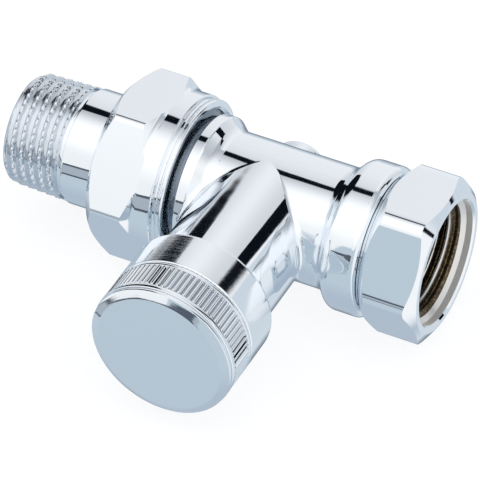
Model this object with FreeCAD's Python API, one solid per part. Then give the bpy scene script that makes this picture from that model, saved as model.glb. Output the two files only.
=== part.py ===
import FreeCAD, Part
import math
import os

# Straight lockshield radiator valve, in millimetres, +Z up.
# The pipe axis is X, the socket opens along +X, and the branch with the spindle and the cap points along -Y.
# Stations along X are counted from the socket's mouth. The finished pieces are then moved so that the origin
# is on the pipe axis where the socket's thread starts, behind the plain mouth.

# Fits
THREAD_PLAY = 0.06
RUN_PLAY = 0.05
SLIP_PLAY = 0.2
SEAT_GAP = 0.05

# Thread sizes, as crest radii, and the wall between the branch's two threads
PIPE_THREAD_R = 10.48
UNION_THREAD_R = 13.22
CAP_THREAD_R = 11.0
BRANCH_END_WALL = 2.0
BONNET_THREAD_R = CAP_THREAD_R - BRANCH_END_WALL
SPINDLE_THREAD_R = 5.0

# Stations along the pipe axis, as lengths from one feature to the next
BRANCH_FROM_MOUTH = 33.6
SOCKET_HEX_LENGTH = 11.0
RING_LENGTH = 8.5
RING_SHOULDER_LENGTH = 2.2
RING_GROOVE_LENGTH = 0.6
UNION_FLANGE_FROM_BRANCH = 10.8
UNION_FLANGE_LENGTH = 2.0
UNION_RELIEF_LENGTH = 2.2
UNION_THREAD_LENGTH = 7.2
UNION_SHOULDER_GAP = 0.5
TAIL_COLLAR_LENGTH = 2.85
TAIL_NECK_LENGTH = 10.3
TAIL_THREAD_LENGTH = 12.0
TAIL_SPIGOT_LENGTH = 4.4

# Outside of the body
SOCKET_HEX_AF = 27.0
SOCKET_HEX_EDGE_R = 3.0
SOCKET_CHAMFER = 0.9
SOCKET_THREAD_DEPTH = 15.0
SOCKET_MOUTH_R = 11.25
SOCKET_MOUTH_DEPTH = 1.5
SOCKET_MOUTH_CHAMFER = 0.35
RING_R = 13.6
RING_GROOVE_R = 12.0
PIPE_R = 11.05
UNION_FLANGE_R = 12.9
UNION_RELIEF_DEPTH = 1.1
NECK_R = 11.0
COLLAR_H = 25.5
COLLAR_LENGTH = 8.2
CAP_THREAD_LENGTH = 5.9
TEE_FILLET_R = 1.2
BOSS_R = 5.2
BOSS_H = 12.9
BOSS_EDGE_R = 1.2

# Waterways and seat
WATERWAY_R = 7.4
INLET_PASSAGE_R = 5.0
INLET_PASSAGE_Y = 3.9
OUTLET_PASSAGE_R = 3.8
OUTLET_PASSAGE_Y = -6.0
BONNET_STEP = 1.0
CHAMBER_R = BONNET_THREAD_R - BONNET_STEP
CHAMBER_FLOOR_H = 2.2
SEAT_RIM_HEIGHT = 1.0
SEAT_RIM_WALL = 1.4
SEAT_R = 4.4
BONNET_SHOULDER_H = 19.0
SPIGOT_R = 9.3

# Union nut and tailpiece
NUT_AF = 30.0
NUT_EDGE_R = 1.5
NUT_CHAMFER = 0.5
NUT_TURN = 6.0
NUT_WALL = 3.0
NUT_HEX_LENGTH = 9.8
NUT_COLLAR_R = 15.3
NUT_SHOULDER_LENGTH = 2.1
NUT_SHOULDER_R = 1.3
NUT_COLLAR_LENGTH = 2.8
NUT_RIM_STEP = 0.4
NUT_RIM_LENGTH = 1.9
NUT_GROOVE = 0.25
TAIL_NECK_R = 10.6
TAIL_UNDERCUT_DEPTH = 0.9
TAIL_UNDERCUT_LENGTH = 1.1
TAIL_COLLAR_PLAY = 0.35
TAIL_CHAMFER = 1.2
O_RING_CORD_R = 0.56

# Bonnet, spindle and disc
GASKET_T = 1.0
BONNET_THREAD_LENGTH = 9.0
BONNET_NECK_AF = 13.0
BONNET_NECK_LENGTH = 7.0
SPINDLE_R = 3.75
SPINDLE_THREAD_LENGTH = 6.6
SPINDLE_STEM_R = 3.0
SPINDLE_STOP_GAP = 0.4
SPINDLE_TOP_STAND = 2.0
KEY_AF = 5.0
KEY_DEPTH = 5.0
SWIVEL_R = 2.4
SWIVEL_LENGTH = 3.9
CLIP_CORD_R = 0.42
SPINDLE_CORD_R = 0.62
STROKE = 3.6
DISC_PLAY = 1.6
DISC_R = CHAMBER_R - DISC_PLAY
DISC_T = 2.4
DISC_HUB_R = 4.2
WASHER_T = 2.0
SCREW_R = 1.5
SCREW_HEAD_R = 3.0
SCREW_HEAD_T = 1.4

# Cap, and the turned collar of the same size behind it
CAP_WALL = 2.1
CAP_R = CAP_THREAD_R + CAP_WALL
COLLAR_R = CAP_R
CAP_LENGTH = 8.3
CAP_SKIRT_GAP = 0.2
CAP_TOP_T = 1.75
CAP_BEVEL_R = 1.4
CAP_BEVEL_H = 0.77
CAP_REAR_RIM_LENGTH = 0.7
CAP_FRONT_RIM_LENGTH = 0.95
CAP_GROOVE_LENGTH = 0.25
KNURL_LENGTH = 5.1
KNURL_DEPTH = 0.4
KNURL_COUNT = 82
CAP_GASKET_T = 0.75

# Stations that follow from the lengths above, measured along X from the socket's mouth
BRANCH_X = -BRANCH_FROM_MOUTH
SOCKET_THREAD_X = PIPE_THREAD_R - SOCKET_MOUTH_R - SOCKET_MOUTH_DEPTH
RING_X = -SOCKET_HEX_LENGTH - RING_LENGTH
FLANGE_RIGHT_X = BRANCH_X - UNION_FLANGE_FROM_BRANCH
FLANGE_LEFT_X = FLANGE_RIGHT_X - UNION_FLANGE_LENGTH
UNION_THREAD_X = FLANGE_LEFT_X - UNION_RELIEF_LENGTH
BODY_END_X = UNION_THREAD_X - UNION_THREAD_LENGTH
TAIL_COLLAR_RIGHT_X = BODY_END_X - UNION_SHOULDER_GAP
TAIL_COLLAR_LEFT_X = TAIL_COLLAR_RIGHT_X - TAIL_COLLAR_LENGTH
NUT_SHOULDER_X = TAIL_COLLAR_LEFT_X - SEAT_GAP
NUT_LEFT_X = NUT_SHOULDER_X - NUT_WALL
NUT_HEX_RIGHT_X = NUT_LEFT_X + NUT_HEX_LENGTH
NUT_COLLAR_RIGHT_X = NUT_HEX_RIGHT_X + NUT_COLLAR_LENGTH
NUT_RIGHT_X = NUT_COLLAR_RIGHT_X + NUT_RIM_LENGTH
TAIL_THREAD_X = TAIL_COLLAR_LEFT_X - TAIL_NECK_LENGTH
TAIL_END_X = TAIL_THREAD_X - TAIL_THREAD_LENGTH

# Heights along the branch, measured from the pipe axis towards the cap
SEAT_H = CHAMBER_FLOOR_H + SEAT_RIM_HEIGHT
COLLAR_TOP_H = COLLAR_H + COLLAR_LENGTH
BRANCH_TOP_H = COLLAR_TOP_H + CAP_THREAD_LENGTH
BONNET_H = BONNET_SHOULDER_H + GASKET_T
BONNET_NECK_H = BONNET_H + BONNET_THREAD_LENGTH
BONNET_TOP_H = BONNET_NECK_H + BONNET_NECK_LENGTH
SPINDLE_THREAD_TOP_H = BONNET_NECK_H - SPINDLE_STOP_GAP
SPINDLE_THREAD_H = SPINDLE_THREAD_TOP_H - SPINDLE_THREAD_LENGTH
SPINDLE_TOP_H = BONNET_TOP_H + SPINDLE_TOP_STAND
WASHER_H = SEAT_H + SEAT_GAP + STROKE
DISC_H = WASHER_H + WASHER_T
DISC_HUB_H = DISC_H + DISC_T
SWIVEL_H = DISC_HUB_H + 0.8
SWIVEL_TOP_H = SWIVEL_H + SWIVEL_LENGTH
CAP_H = COLLAR_TOP_H + CAP_SKIRT_GAP
CAP_FACE_H = CAP_H + CAP_LENGTH
CAP_CEILING_H = CAP_FACE_H - CAP_TOP_T

X_AXIS = FreeCAD.Vector(1, 0, 0)
ORIGIN = FreeCAD.Vector(0, 0, 0)
BRANCH_ORIGIN = FreeCAD.Vector(BRANCH_X, 0, 0)
BRANCH_OUT = FreeCAD.Vector(0, -1, 0)


def rounded_wire(corners, place):
    """Closed wire through corners (a, b, radius); place turns (a, b) into a point in space."""
    count = len(corners)
    starts = []
    edges = []
    for i in range(count):
        before = corners[i - 1]
        here = corners[i]
        after = corners[(i + 1) % count]
        radius = here[2]
        ux, uy = before[0] - here[0], before[1] - here[1]
        vx, vy = after[0] - here[0], after[1] - here[1]
        ul, vl = math.hypot(ux, uy), math.hypot(vx, vy)
        ux, uy, vx, vy = ux / ul, uy / ul, vx / vl, vy / vl
        if radius <= 0:
            point = place(here[0], here[1])
            starts.append((point, point))
            continue
        half = math.acos(max(-1.0, min(1.0, ux * vx + uy * vy))) / 2
        back = radius / math.tan(half)
        bx, by = ux + vx, uy + vy
        bl = math.hypot(bx, by)
        reach = radius / math.sin(half) - radius
        first = place(here[0] + ux * back, here[1] + uy * back)
        middle = place(here[0] + bx / bl * reach, here[1] + by / bl * reach)
        last = place(here[0] + vx * back, here[1] + vy * back)
        edges.append(Part.Arc(first, middle, last).toShape())
        starts.append((first, last))
    for i in range(count):
        first = starts[i][1]
        last = starts[(i + 1) % count][0]
        if first.distanceToPoint(last) > 1e-6:
            edges.append(Part.makeLine(first, last))
    return Part.Wire(Part.__sortEdges__(edges))


def round_pipe(corners):
    """Solid of revolution round the pipe axis from corners (x, radius, corner radius)."""
    wire = rounded_wire(corners, lambda x, r: FreeCAD.Vector(x, 0, r))
    return Part.Face(wire).revolve(ORIGIN, X_AXIS, 360)


def round_branch(corners):
    """Solid of revolution round the branch axis from corners (height, radius, corner radius)."""
    wire = rounded_wire(corners, lambda h, r: FreeCAD.Vector(BRANCH_X + r, -h, 0))
    return Part.Face(wire).revolve(BRANCH_ORIGIN, BRANCH_OUT, 360)


def ring_h(low, high, inner, outer):
    """Plain tube round the branch axis."""
    return round_branch([(low, inner, 0), (high, inner, 0), (high, outer, 0), (low, outer, 0)])


def rod_x(left, right, radius, y=0.0):
    """Plain rod parallel to the pipe axis."""
    return Part.makeCylinder(radius, right - left, FreeCAD.Vector(left, y, 0), X_AXIS)


def rod_h(low, high, radius):
    """Plain rod on the branch axis."""
    return Part.makeCylinder(radius, high - low, FreeCAD.Vector(BRANCH_X, -low, 0), BRANCH_OUT)


def torus_h(height, middle, cord, turn=360.0):
    """Round-section ring round the branch axis."""
    circle = Part.makeCircle(cord, FreeCAD.Vector(BRANCH_X + middle, -height, 0), FreeCAD.Vector(0, 0, 1))
    return Part.Face(Part.Wire(circle)).revolve(BRANCH_ORIGIN, BRANCH_OUT, turn)


def torus_x(station, middle, cord):
    """Round-section ring round the pipe axis."""
    circle = Part.makeCircle(cord, FreeCAD.Vector(station, 0, middle), FreeCAD.Vector(0, 1, 0))
    return Part.Face(Part.Wire(circle)).revolve(ORIGIN, X_AXIS, 360)


def hexagon(across_flats, edge_radius, turn):
    """Corners of a hexagon, the first one at the turn angle in degrees from the first axis."""
    corner = across_flats / math.sqrt(3)
    out = []
    for k in range(6):
        angle = math.radians(turn + 60 * k)
        out.append((corner * math.cos(angle), corner * math.sin(angle), edge_radius))
    return out


def hex_x(left, right, across_flats, edge_radius, turn):
    """Hexagon bar along the pipe axis; at turn 0 two corners lie in the plane of the branch."""
    wire = rounded_wire(hexagon(across_flats, edge_radius, turn), lambda y, z: FreeCAD.Vector(left, -y, z))
    return Part.Face(wire).extrude(FreeCAD.Vector(right - left, 0, 0))


def hex_h(low, high, across_flats, edge_radius=0.0):
    """Hexagon bar along the branch axis."""
    wire = rounded_wire(hexagon(across_flats, edge_radius, 0),
                        lambda a, b: FreeCAD.Vector(BRANCH_X + a, -low, b))
    return Part.Face(wire).extrude(FreeCAD.Vector(0, low - high, 0))


def make_body_outside():
    """Forged outside: pipe run with ring collar and union end, branch, back boss and hex socket."""
    run = round_pipe([
        (BODY_END_X, 0, 0),
        (BODY_END_X, UNION_THREAD_R - 1.0, 0),
        (BODY_END_X + 1.0, UNION_THREAD_R, 0),
        (UNION_THREAD_X, UNION_THREAD_R, 0),
        (UNION_THREAD_X + UNION_RELIEF_DEPTH / 2, UNION_THREAD_R - UNION_RELIEF_DEPTH, 0),
        (FLANGE_LEFT_X, UNION_THREAD_R - UNION_RELIEF_DEPTH, 0),
        (FLANGE_LEFT_X, UNION_FLANGE_R, 0.3),
        (FLANGE_RIGHT_X, UNION_FLANGE_R, 0.5),
        (FLANGE_RIGHT_X + (UNION_FLANGE_R - PIPE_R) * 1.1, PIPE_R, 2.4),
        (RING_X, PIPE_R, 2.0),
        (RING_X + RING_SHOULDER_LENGTH, RING_R, 2.0),
        (-SOCKET_HEX_LENGTH - RING_GROOVE_LENGTH, RING_R, 1.4),
        (-SOCKET_HEX_LENGTH - RING_GROOVE_LENGTH / 2, RING_GROOVE_R, 0),
        (-SOCKET_HEX_LENGTH + 1.0, RING_GROOVE_R, 0),
        (-SOCKET_HEX_LENGTH + 1.0, 0, 0),
    ])
    branch = round_branch([
        (0, 0, 0),
        (0, NECK_R, 0),
        (COLLAR_H, NECK_R, 1.0),
        (COLLAR_H + 0.3, COLLAR_R, 0.7),
        (COLLAR_TOP_H, COLLAR_R, 0.3),
        (COLLAR_TOP_H, CAP_THREAD_R - 0.6, 0),
        (COLLAR_TOP_H + 0.6, CAP_THREAD_R - 0.6, 0),
        (COLLAR_TOP_H + 0.9, CAP_THREAD_R, 0),
        (BRANCH_TOP_H - 0.7, CAP_THREAD_R, 0),
        (BRANCH_TOP_H, CAP_THREAD_R - 0.7, 0),
        (BRANCH_TOP_H, 0, 0),
    ])
    tee = run.fuse(branch).removeSplitter()
    crotch = []
    for edge in tee.Edges:
        box = edge.BoundBox
        near_x = abs(box.XMin - BRANCH_X) < PIPE_R + 2 and abs(box.XMax - BRANCH_X) < PIPE_R + 2
        near_y = box.YMin > -PIPE_R - 2 and box.YMax < 0.5
        curved = box.XLength > 1 and box.YLength > 1 and box.ZLength > 1
        if near_x and near_y and curved:
            crotch.append(edge)
    tee = tee.makeFillet(TEE_FILLET_R, crotch)
    boss = round_branch([
        (-BOSS_H, 0, 0),
        (-BOSS_H, BOSS_R, BOSS_EDGE_R),
        (-PIPE_R + 1.6, BOSS_R, 0),
        (-PIPE_R + 1.6, 0, 0),
    ])
    hex_corner = SOCKET_HEX_AF / math.sqrt(3)
    hex_mid = SOCKET_HEX_AF / 2
    rise = hex_corner - hex_mid + SOCKET_CHAMFER
    turned = round_pipe([
        (-SOCKET_HEX_LENGTH, 0, 0),
        (-SOCKET_HEX_LENGTH, hex_mid - SOCKET_CHAMFER, 0),
        (-SOCKET_HEX_LENGTH + rise * 0.85, hex_corner, 0),
        (-rise * 0.6, hex_corner, 0),
        (0, hex_mid - SOCKET_CHAMFER, 0.5),
        (0, 0, 0),
    ])
    socket_hex = hex_x(-SOCKET_HEX_LENGTH, 0, SOCKET_HEX_AF, SOCKET_HEX_EDGE_R, 0).common(turned)
    return tee.fuse(boss).fuse(socket_hex).removeSplitter()


def make_body():
    """The body with its socket, waterways, valve chamber, seat and union mouth cut."""
    spigot_bore_r = SPIGOT_R + SLIP_PLAY
    socket = round_pipe([
        (-SOCKET_THREAD_DEPTH, 0, 0),
        (-SOCKET_THREAD_DEPTH, PIPE_THREAD_R, 0),
        (SOCKET_THREAD_X, PIPE_THREAD_R, 0),
        (-SOCKET_MOUTH_DEPTH, SOCKET_MOUTH_R, 0),
        (-SOCKET_MOUTH_CHAMFER, SOCKET_MOUTH_R, 0),
        (0, SOCKET_MOUTH_R + SOCKET_MOUTH_CHAMFER, 0),
        (1, SOCKET_MOUTH_R + SOCKET_MOUTH_CHAMFER, 0),
        (1, 0, 0),
    ])
    inlet_well = rod_x(RING_X + 1.0, -SOCKET_THREAD_DEPTH + 0.5, WATERWAY_R)
    inlet_passage = rod_x(BRANCH_X - INLET_PASSAGE_R, RING_X + 2.0, INLET_PASSAGE_R, INLET_PASSAGE_Y)
    seat_hole = rod_h(-INLET_PASSAGE_Y, SEAT_H + 1.0, SEAT_R)
    chamber = rod_h(SEAT_H, BONNET_SHOULDER_H + 1.0, CHAMBER_R)
    moat = ring_h(CHAMBER_FLOOR_H, SEAT_H + 0.5, SEAT_R + SEAT_RIM_WALL, CHAMBER_R)
    bonnet_bore = rod_h(BONNET_SHOULDER_H, BRANCH_TOP_H + 1.0, BONNET_THREAD_R + THREAD_PLAY)
    outlet_passage = rod_x(FLANGE_LEFT_X - 1.0, BRANCH_X - SEAT_R - SEAT_RIM_WALL - 0.4,
                           OUTLET_PASSAGE_R, OUTLET_PASSAGE_Y)
    outlet_well = rod_x(BODY_END_X - 1.0, FLANGE_RIGHT_X - 1.0, WATERWAY_R)
    spigot_bore = round_pipe([
        (BODY_END_X - 1.0, 0, 0),
        (BODY_END_X - 1.0, spigot_bore_r + 0.6, 0),
        (BODY_END_X, spigot_bore_r + 0.6, 0),
        (BODY_END_X + 0.6, spigot_bore_r, 0),
        (BODY_END_X + TAIL_SPIGOT_LENGTH, spigot_bore_r, 0),
        (BODY_END_X + TAIL_SPIGOT_LENGTH, 0, 0),
    ])
    shape = make_body_outside()
    for tool in (socket, inlet_well, inlet_passage, seat_hole, chamber, moat, bonnet_bore,
                 outlet_passage, outlet_well, spigot_bore):
        shape = shape.cut(tool)
    return shape


def make_union_nut():
    """Hexagon nut turned to a round collar, bored for the union thread and for the tail's neck."""
    corner = NUT_AF / math.sqrt(3)
    rise = corner - NUT_AF / 2
    rim_r = NUT_COLLAR_R - NUT_RIM_STEP
    bead_right = NUT_COLLAR_RIGHT_X + NUT_RIM_LENGTH / 2
    turned = round_pipe([
        (NUT_LEFT_X, 0, 0),
        (NUT_LEFT_X, NUT_AF / 2 - NUT_CHAMFER, 0),
        (NUT_LEFT_X + (rise + NUT_CHAMFER) * 0.85, corner, 0),
        (NUT_HEX_RIGHT_X - NUT_SHOULDER_LENGTH, corner, 0),
        (NUT_HEX_RIGHT_X - NUT_SHOULDER_LENGTH / 3, NUT_COLLAR_R, NUT_SHOULDER_R),
        (NUT_HEX_RIGHT_X, NUT_COLLAR_R, 0),
        (NUT_HEX_RIGHT_X, 0, 0),
    ])
    bar = hex_x(NUT_LEFT_X, NUT_HEX_RIGHT_X, NUT_AF, NUT_EDGE_R, NUT_TURN).common(turned)
    collar = round_pipe([
        (NUT_LEFT_X + 1.0, 0, 0),
        (NUT_LEFT_X + 1.0, NUT_AF / 2 - 1.0, 0),
        (NUT_HEX_RIGHT_X - 0.6, NUT_AF / 2 - 1.0, 0),
        (NUT_HEX_RIGHT_X - 0.2, NUT_COLLAR_R, 0),
        (NUT_COLLAR_RIGHT_X, NUT_COLLAR_R, 0.3),
        (NUT_COLLAR_RIGHT_X, rim_r - NUT_GROOVE, 0),
        (NUT_COLLAR_RIGHT_X + NUT_GROOVE, rim_r - NUT_GROOVE, 0),
        (NUT_COLLAR_RIGHT_X + NUT_GROOVE, rim_r, 0.2),
        (bead_right, rim_r, 0.2),
        (bead_right, rim_r - NUT_GROOVE, 0),
        (bead_right + NUT_GROOVE, rim_r - NUT_GROOVE, 0),
        (bead_right + NUT_GROOVE, rim_r, 0.15),
        (NUT_RIGHT_X, rim_r, 0.45),
        (NUT_RIGHT_X, 0, 0),
    ])
    thread_r = UNION_THREAD_R + THREAD_PLAY
    bore = round_pipe([
        (NUT_LEFT_X - 1.0, 0, 0),
        (NUT_LEFT_X - 1.0, TAIL_NECK_R + SLIP_PLAY, 0),
        (NUT_SHOULDER_X, TAIL_NECK_R + SLIP_PLAY, 0),
        (NUT_SHOULDER_X, thread_r, 0),
        (NUT_RIGHT_X - 0.5, thread_r, 0),
        (NUT_RIGHT_X, thread_r + 0.5, 0),
        (NUT_RIGHT_X + 1.0, thread_r + 0.5, 0),
        (NUT_RIGHT_X + 1.0, 0, 0),
    ])
    return bar.fuse(collar).removeSplitter().cut(bore)


def make_tailpiece():
    """Threaded tail, neck, the collar that the nut pulls on, and the grooved spigot."""
    spigot_end = BODY_END_X + TAIL_SPIGOT_LENGTH - SLIP_PLAY
    groove = O_RING_CORD_R * 2.6
    groove_x = BODY_END_X + TAIL_SPIGOT_LENGTH / 2
    groove_r = SPIGOT_R + SLIP_PLAY - RUN_PLAY - 2 * O_RING_CORD_R
    return round_pipe([
        (TAIL_END_X, WATERWAY_R, 0),
        (TAIL_END_X, PIPE_THREAD_R - TAIL_CHAMFER, 0),
        (TAIL_END_X + TAIL_CHAMFER, PIPE_THREAD_R, 0),
        (TAIL_THREAD_X - TAIL_UNDERCUT_LENGTH, PIPE_THREAD_R, 0),
        (TAIL_THREAD_X - TAIL_UNDERCUT_LENGTH, PIPE_THREAD_R - TAIL_UNDERCUT_DEPTH, 0.3),
        (TAIL_THREAD_X, PIPE_THREAD_R - TAIL_UNDERCUT_DEPTH, 0.3),
        (TAIL_THREAD_X, TAIL_NECK_R, 0.25),
        (TAIL_COLLAR_LEFT_X, TAIL_NECK_R, 0),
        (TAIL_COLLAR_LEFT_X, UNION_THREAD_R - TAIL_COLLAR_PLAY, 0.3),
        (TAIL_COLLAR_RIGHT_X, UNION_THREAD_R - TAIL_COLLAR_PLAY, 0.3),
        (TAIL_COLLAR_RIGHT_X, SPIGOT_R, 0),
        (groove_x - groove / 2, SPIGOT_R, 0),
        (groove_x - groove / 2, groove_r, 0),
        (groove_x + groove / 2, groove_r, 0),
        (groove_x + groove / 2, SPIGOT_R, 0),
        (spigot_end - 0.5, SPIGOT_R, 0),
        (spigot_end, SPIGOT_R - 0.5, 0),
        (spigot_end, WATERWAY_R, 0),
    ])


def make_union_o_ring():
    """Rubber ring in the spigot's groove."""
    middle = SPIGOT_R + SLIP_PLAY - RUN_PLAY - O_RING_CORD_R
    return torus_x(BODY_END_X + TAIL_SPIGOT_LENGTH / 2, middle, O_RING_CORD_R)


def make_bonnet():
    """Insert with the spindle's thread below and the hexagon neck with two ring grooves above."""
    flange = round_branch([
        (BONNET_H, 0, 0),
        (BONNET_H, BONNET_THREAD_R - 0.5, 0),
        (BONNET_H + 0.5, BONNET_THREAD_R, 0),
        (BONNET_NECK_H - 0.5, BONNET_THREAD_R, 0),
        (BONNET_NECK_H, BONNET_THREAD_R - 0.5, 0),
        (BONNET_NECK_H, 0, 0),
    ])
    neck = hex_h(BONNET_NECK_H - 0.5, BONNET_TOP_H, BONNET_NECK_AF, 0.3).common(round_branch([
        (BONNET_NECK_H - 1.0, 0, 0),
        (BONNET_NECK_H - 1.0, BONNET_NECK_AF, 0),
        (BONNET_TOP_H - BONNET_NECK_AF / 2, BONNET_NECK_AF, 0),
        (BONNET_TOP_H, BONNET_NECK_AF / 2 - 0.2, 0),
        (BONNET_TOP_H, 0, 0),
    ]))
    shape = flange.fuse(neck)
    shape = shape.cut(rod_h(BONNET_H - 1.0, BONNET_NECK_H, SPINDLE_THREAD_R + THREAD_PLAY))
    shape = shape.cut(rod_h(BONNET_NECK_H - 1.0, BONNET_TOP_H + 1.0, SPINDLE_R + RUN_PLAY))
    for height in (BONNET_NECK_H + BONNET_NECK_LENGTH / 3, BONNET_NECK_H + BONNET_NECK_LENGTH * 2 / 3):
        half = SPINDLE_CORD_R * 1.2
        outer = SPINDLE_R + RUN_PLAY + 2 * SPINDLE_CORD_R
        shape = shape.cut(ring_h(height - half, height + half, SPINDLE_R, outer))
    return shape


def make_spindle_ring(part):
    """Rubber ring in the bonnet's neck, at the given part of the neck's length."""
    middle = SPINDLE_R + RUN_PLAY / 2 + SPINDLE_CORD_R
    return torus_h(BONNET_NECK_H + BONNET_NECK_LENGTH * part, middle, SPINDLE_CORD_R)


def make_spindle():
    """Spindle with key socket, thread, stem and grooved swivel pin."""
    clip_h = SWIVEL_H + SWIVEL_LENGTH / 2
    half = CLIP_CORD_R + RUN_PLAY
    groove_r = SWIVEL_R - CLIP_CORD_R - RUN_PLAY
    shape = round_branch([
        (SWIVEL_H + RUN_PLAY, 0, 0),
        (SWIVEL_H + RUN_PLAY, SWIVEL_R, 0),
        (clip_h - half, SWIVEL_R, 0),
        (clip_h - half, groove_r, 0),
        (clip_h + half, groove_r, 0),
        (clip_h + half, SWIVEL_R, 0),
        (SWIVEL_TOP_H + RUN_PLAY, SWIVEL_R, 0),
        (SWIVEL_TOP_H + RUN_PLAY, SPINDLE_STEM_R, 0),
        (SPINDLE_THREAD_H, SPINDLE_STEM_R, 0),
        (SPINDLE_THREAD_H, SPINDLE_THREAD_R - 0.4, 0),
        (SPINDLE_THREAD_H + 0.4, SPINDLE_THREAD_R, 0),
        (SPINDLE_THREAD_TOP_H - 0.4, SPINDLE_THREAD_R, 0),
        (SPINDLE_THREAD_TOP_H, SPINDLE_THREAD_R - 0.4, 0),
        (SPINDLE_THREAD_TOP_H, SPINDLE_R, 0),
        (SPINDLE_TOP_H - 0.3, SPINDLE_R, 0),
        (SPINDLE_TOP_H, SPINDLE_R - 0.3, 0),
        (SPINDLE_TOP_H, 0, 0),
    ])
    return shape.cut(hex_h(SPINDLE_TOP_H - KEY_DEPTH, SPINDLE_TOP_H + 1.0, KEY_AF))


def make_valve_disc():
    """Disc holder: plate for the washer and hub with the swivel hole and its inside groove."""
    clip_h = SWIVEL_H + SWIVEL_LENGTH / 2
    half = CLIP_CORD_R + RUN_PLAY
    hole = SWIVEL_R + RUN_PLAY
    return round_branch([
        (DISC_H, SCREW_R + RUN_PLAY, 0),
        (DISC_H, DISC_R, 0),
        (DISC_HUB_H, DISC_R, 0.4),
        (DISC_HUB_H, DISC_HUB_R, 0.4),
        (SWIVEL_TOP_H, DISC_HUB_R, 0.3),
        (SWIVEL_TOP_H, hole, 0),
        (clip_h + half, hole, 0),
        (clip_h + half, hole + CLIP_CORD_R, 0),
        (clip_h - half, hole + CLIP_CORD_R, 0),
        (clip_h - half, hole, 0),
        (SWIVEL_H, hole, 0),
        (SWIVEL_H, SCREW_R + RUN_PLAY, 0),
    ])


def make_swivel_clip():
    """Split wire ring, half in the spindle's groove and half in the disc's."""
    return torus_h(SWIVEL_H + SWIVEL_LENGTH / 2, SWIVEL_R + RUN_PLAY / 2, CLIP_CORD_R, 320)


def make_disc_washer():
    """Seat washer under the disc."""
    return round_branch([
        (WASHER_H, SCREW_R + RUN_PLAY, 0),
        (WASHER_H, DISC_R - 0.2, 0.3),
        (DISC_H, DISC_R - 0.2, 0),
        (DISC_H, SCREW_R + RUN_PLAY, 0),
    ])


def make_washer_screw():
    """Screw with a slotted round head under the washer."""
    shape = round_branch([
        (WASHER_H - SCREW_HEAD_T, 0, 0),
        (WASHER_H - SCREW_HEAD_T, SCREW_HEAD_R, 0.5),
        (WASHER_H, SCREW_HEAD_R, 0),
        (WASHER_H, SCREW_R, 0),
        (DISC_HUB_H, SCREW_R, 0),
        (DISC_HUB_H, 0, 0),
    ])
    slot = Part.makeBox(SCREW_HEAD_R * 3, SCREW_HEAD_T / 2, 0.8,
                        FreeCAD.Vector(BRANCH_X - SCREW_HEAD_R * 1.5, -WASHER_H + SCREW_HEAD_T / 2, -0.4))
    return shape.cut(slot)


def make_cap():
    """Cap: rear rim, straight knurl, front rim, groove, narrow band and a bevel round the flat face."""
    rear_rim_h = CAP_H + CAP_REAR_RIM_LENGTH
    knurl_top_h = rear_rim_h + KNURL_LENGTH
    front_rim_h = knurl_top_h + CAP_FRONT_RIM_LENGTH
    core_r = CAP_R - KNURL_DEPTH
    band_r = CAP_R - 0.15
    shape = round_branch([
        (CAP_H, 0, 0),
        (CAP_H, CAP_R, 0.2),
        (rear_rim_h, CAP_R, 0.1),
        (rear_rim_h, core_r, 0),
        (knurl_top_h, core_r, 0),
        (knurl_top_h, CAP_R, 0.1),
        (front_rim_h, CAP_R, 0.2),
        (front_rim_h, core_r, 0),
        (front_rim_h + CAP_GROOVE_LENGTH, core_r, 0),
        (front_rim_h + CAP_GROOVE_LENGTH, band_r, 0.1),
        (CAP_FACE_H - CAP_BEVEL_H, band_r, 0.1),
        (CAP_FACE_H, band_r - CAP_BEVEL_R, 0.1),
        (CAP_FACE_H, 0, 0),
    ])
    step = 2 * math.pi / KNURL_COUNT
    points = []
    for k in range(KNURL_COUNT):
        for part, radius in ((0.0, core_r - 0.02), (0.3, CAP_R - 0.05), (0.7, CAP_R - 0.05)):
            angle = step * (k + part)
            points.append(FreeCAD.Vector(BRANCH_X + radius * math.cos(angle), -rear_rim_h,
                                         radius * math.sin(angle)))
    points.append(points[0])
    knurl = Part.Face(Part.makePolygon(points)).extrude(FreeCAD.Vector(0, -KNURL_LENGTH, 0))
    bore = round_branch([
        (CAP_H - 1.0, 0, 0),
        (CAP_H - 1.0, CAP_THREAD_R + THREAD_PLAY + 0.4, 0),
        (CAP_H, CAP_THREAD_R + THREAD_PLAY + 0.4, 0),
        (CAP_H + 0.4, CAP_THREAD_R + THREAD_PLAY, 0),
        (CAP_CEILING_H, CAP_THREAD_R + THREAD_PLAY, 0),
        (CAP_CEILING_H, 0, 0),
    ])
    return shape.fuse(knurl).cut(bore)


def make_cap_gasket():
    """Flat ring between the branch's end and the cap's ceiling."""
    return ring_h(CAP_CEILING_H - SEAT_GAP - CAP_GASKET_T, CAP_CEILING_H - SEAT_GAP,
                  BONNET_THREAD_R + THREAD_PLAY, CAP_THREAD_R - 0.1)


NODES = {
    "valve_body": make_body(),
    "union_nut": make_union_nut(),
    "tailpiece": make_tailpiece(),
    "union_o_ring": make_union_o_ring(),
    "bonnet": make_bonnet(),
    "bonnet_gasket": ring_h(BONNET_SHOULDER_H, BONNET_H, CHAMBER_R, BONNET_THREAD_R),
    "spindle": make_spindle(),
    "spindle_o_ring_inner": make_spindle_ring(1 / 3),
    "spindle_o_ring_outer": make_spindle_ring(2 / 3),
    "valve_disc": make_valve_disc(),
    "swivel_clip": make_swivel_clip(),
    "disc_washer": make_disc_washer(),
    "washer_screw": make_washer_screw(),
    "cap": make_cap(),
    "cap_gasket": make_cap_gasket(),
}

os.makedirs("parts", exist_ok=True)
for name, shape in NODES.items():
    solid = shape.Solids[0]
    solid.translate(FreeCAD.Vector(-SOCKET_THREAD_X, 0, 0))
    solid.exportStep("parts/" + name + ".step")
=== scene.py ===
import math

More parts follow.
